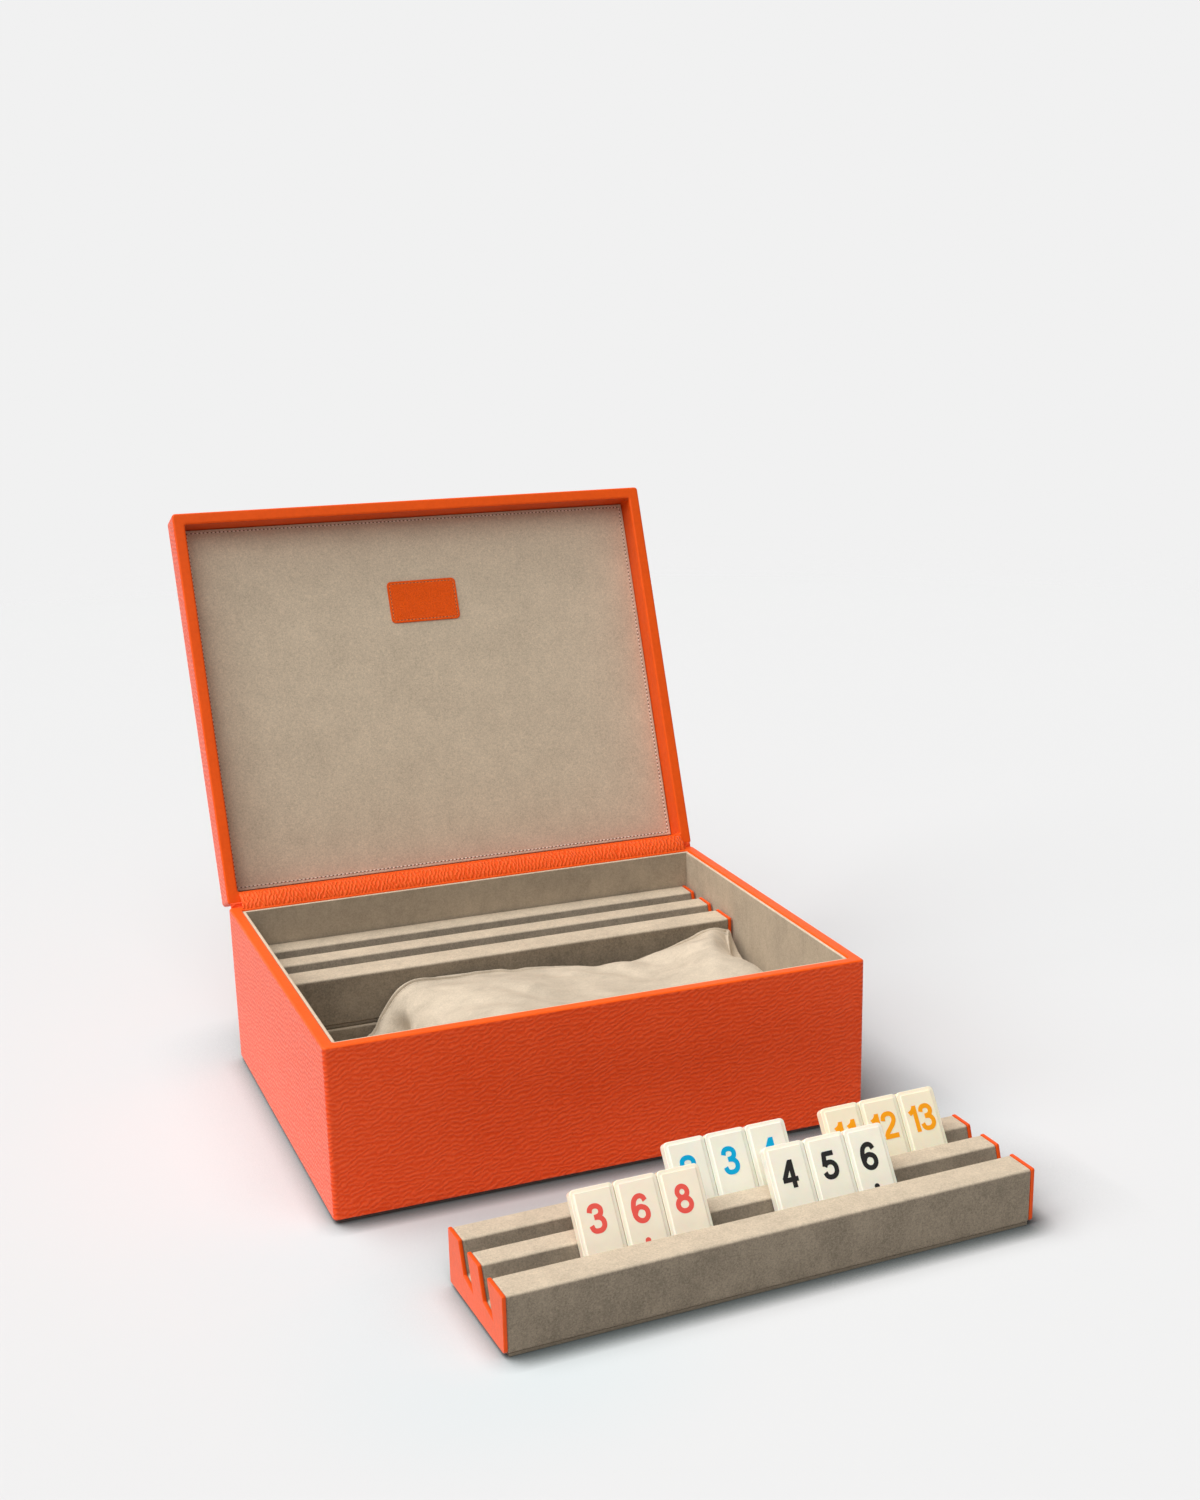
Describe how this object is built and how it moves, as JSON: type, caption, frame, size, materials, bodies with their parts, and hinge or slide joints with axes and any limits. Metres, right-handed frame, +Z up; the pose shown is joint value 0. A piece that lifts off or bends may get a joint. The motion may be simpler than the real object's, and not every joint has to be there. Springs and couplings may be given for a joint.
{
  "type": "rummy tile case",
  "caption": "Leather-covered lidded box lined with suede, holding slotted tile racks and a filled soft pouch, with one rack of numbered tiles standing in front.",
  "frame": {"origin": "centre of the case's underside", "axes": "+X along the case's front to the right, +Y from the front to the hinge, +Z up"},
  "size_m": [0.3511, 0.5457, 0.3499],
  "materials": {
    "orange_leather": "pebble-grained, satin",
    "taupe_suede": "short-napped suede",
    "pouch_suede": "soft suede cloth",
    "suede_covered_wood": "taupe suede glued over solid wood",
    "ivory_tile": "polished, bevelled",
    "board": "bare fibreboard",
    "base_felt": "dark felt"
  },
  "bodies": {
    "case": {"case_back_board": "board", "case_back_lining": "taupe_suede", "case_base_sheet": "base_felt", "case_bottom_board": "board", "case_floor_lining": "taupe_suede", "case_front_board": "board", "case_front_lining": "taupe_suede", "case_leather_cover": "orange_leather", "case_left_board": "board", "case_left_lining": "taupe_suede", "case_right_board": "board", "case_right_lining": "taupe_suede", "hinge_strip": "orange_leather", "hinge_spine": "orange_leather"},
    "lid": {"lid_back_rail": "board", "lid_front_rail": "board", "lid_label_patch": "orange_leather", "lid_leather_cover": "orange_leather", "lid_left_rail": "board", "lid_right_rail": "board", "lid_suede_panel": "taupe_suede", "lid_top_board": "board"},
    "front_rack": {"front_rack_base_board": "suede_covered_wood", "front_rack_core": "suede_covered_wood", "front_rack_left_end": "orange_leather", "front_rack_right_end": "orange_leather"},
    "lower_rack": {"lower_rack_base_board": "suede_covered_wood", "lower_rack_core": "suede_covered_wood", "lower_rack_left_end": "orange_leather", "lower_rack_right_end": "orange_leather"},
    "upper_rack": {"upper_rack_base_board": "suede_covered_wood", "upper_rack_core": "suede_covered_wood", "upper_rack_left_end": "orange_leather", "upper_rack_right_end": "orange_leather"},
    "pouch_rack": {"pouch_rack_base_board": "suede_covered_wood", "pouch_rack_core": "suede_covered_wood", "pouch_rack_left_end": "orange_leather", "pouch_rack_right_end": "orange_leather"},
    "pouch": {"tile_pouch": "pouch_suede"},
    "black_4": {"tile_black_4": "ivory_tile"},
    "black_5": {"tile_black_5": "ivory_tile"},
    "black_6": {"tile_black_6": "ivory_tile"},
    "blue_2": {"tile_blue_2": "ivory_tile"},
    "blue_3": {"tile_blue_3": "ivory_tile"},
    "blue_4": {"tile_blue_4": "ivory_tile"},
    "orange_11": {"tile_orange_11": "ivory_tile"},
    "orange_12": {"tile_orange_12": "ivory_tile"},
    "orange_13": {"tile_orange_13": "ivory_tile"},
    "red_3": {"tile_red_3": "ivory_tile"},
    "red_6": {"tile_red_6": "ivory_tile"},
    "red_8": {"tile_red_8": "ivory_tile"}
  },
  "joints": [
    {"name": "lid_hinge", "type": "hinge", "parent": "case", "child": "lid", "pos_m": [0, 0.1309, 0.1064], "axis": [-1, 0, 0], "range_deg": [-111, 0], "deforming": ["hinge_strip", "hinge_spine"]},
    {"name": "lower_rack_lift", "type": "slide", "parent": "case", "child": "lower_rack", "axis": [0, 0, 1], "range_m": [0, 0.1]},
    {"name": "upper_rack_lift", "type": "slide", "parent": "lower_rack", "child": "upper_rack", "axis": [0, 0, 1], "range_m": [0, 0.07]},
    {"name": "pouch_rack_lift", "type": "slide", "parent": "case", "child": "pouch_rack", "axis": [0, 0, 1], "range_m": [0, 0.1]},
    {"name": "pouch_lift", "type": "slide", "parent": "pouch_rack", "child": "pouch", "axis": [0, 0, 1], "range_m": [0, 0.1]},
    {"name": "front_rack_lift", "type": "slide", "parent": "case", "child": "front_rack", "axis": [0, 0, 1], "range_m": [0, 0.05]},
    {"name": "black_4_draw", "type": "slide", "parent": "front_rack", "child": "black_4", "axis": [-0.0202, 0.5516, 0.8339], "range_m": [0, 0.03]},
    {"name": "black_5_draw", "type": "slide", "parent": "front_rack", "child": "black_5", "axis": [-0.0202, 0.5516, 0.8339], "range_m": [0, 0.03]},
    {"name": "black_6_draw", "type": "slide", "parent": "front_rack", "child": "black_6", "axis": [-0.0202, 0.5516, 0.8339], "range_m": [0, 0.03]},
    {"name": "blue_2_draw", "type": "slide", "parent": "front_rack", "child": "blue_2", "axis": [-0.0202, 0.5516, 0.8339], "range_m": [0, 0.03]},
    {"name": "blue_3_draw", "type": "slide", "parent": "front_rack", "child": "blue_3", "axis": [-0.0202, 0.5516, 0.8339], "range_m": [0, 0.03]},
    {"name": "blue_4_draw", "type": "slide", "parent": "front_rack", "child": "blue_4", "axis": [-0.0202, 0.5516, 0.8339], "range_m": [0, 0.03]},
    {"name": "orange_11_draw", "type": "slide", "parent": "front_rack", "child": "orange_11", "axis": [-0.0202, 0.5516, 0.8339], "range_m": [0, 0.03]},
    {"name": "orange_12_draw", "type": "slide", "parent": "front_rack", "child": "orange_12", "axis": [-0.0202, 0.5516, 0.8339], "range_m": [0, 0.03]},
    {"name": "orange_13_draw", "type": "slide", "parent": "front_rack", "child": "orange_13", "axis": [-0.0202, 0.5516, 0.8339], "range_m": [0, 0.03]},
    {"name": "red_3_draw", "type": "slide", "parent": "front_rack", "child": "red_3", "axis": [-0.0202, 0.5516, 0.8339], "range_m": [0, 0.03]},
    {"name": "red_6_draw", "type": "slide", "parent": "front_rack", "child": "red_6", "axis": [-0.0202, 0.5516, 0.8339], "range_m": [0, 0.03]},
    {"name": "red_8_draw", "type": "slide", "parent": "front_rack", "child": "red_8", "axis": [-0.0202, 0.5516, 0.8339], "range_m": [0, 0.03]}
  ]
}
